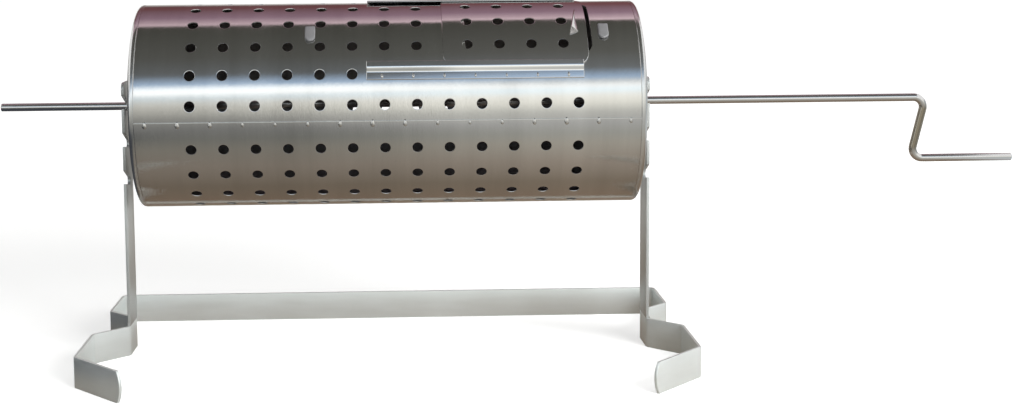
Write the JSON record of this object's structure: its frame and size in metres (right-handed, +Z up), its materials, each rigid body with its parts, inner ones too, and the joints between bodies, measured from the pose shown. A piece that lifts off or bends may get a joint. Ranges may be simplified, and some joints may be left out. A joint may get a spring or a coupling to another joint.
{
  "type": "chestnut roaster machine",
  "caption": "Hand-cranked chestnut roaster: a perforated steel drum with a sliding door turns on a bent spit rod in a notched flat-bar stand.",
  "frame": {"origin": "on the floor, under the rod's axis, midway between the uprights", "axes": "+X along the rod towards the crank, +Y to the rear crossbar, +Z up"},
  "size_m": [1.036, 0.3294, 0.3588],
  "materials": {
    "stand_steel": "satin flat bar",
    "drum_steel": "brushed sheet, lightly handled",
    "cap_steel": "pressed sheet, satin",
    "door_steel": "brushed sheet",
    "rail_steel": "bright strip",
    "rod_steel": "drawn bar",
    "hub_steel": "turned",
    "screw_steel": "dark oxide",
    "weld_metal": "weld bead, dressed"
  },
  "bodies": {
    "stand": {"base_bar": "stand_steel", "left_upright": "stand_steel", "right_upright": "stand_steel", "upright_welds": "weld_metal"},
    "drum": {"drum_shell": "drum_steel", "seam_tacks": "weld_metal", "left_end_cap": "cap_steel", "right_end_cap": "cap_steel", "left_hub": "hub_steel", "right_hub": "hub_steel", "hub_welds": "weld_metal", "hub_screws": "screw_steel", "spit_rod": "rod_steel", "front_rail": "rail_steel", "rear_rail": "rail_steel", "rail_tacks": "weld_metal", "left_door_stop": "drum_steel", "right_door_stop": "drum_steel"},
    "door": {"door_panel": "door_steel", "door_pull": "door_steel"}
  },
  "joints": [
    {"name": "drum_spin", "type": "hinge", "parent": "stand", "child": "drum", "pos_m": [0, 0, 0.253], "axis": [1, 0, 0], "continuous": true},
    {"name": "door_slide", "type": "slide", "parent": "drum", "child": "door", "axis": [1, 0, 0], "range_m": [-0.1227, 0.0107]}
  ]
}
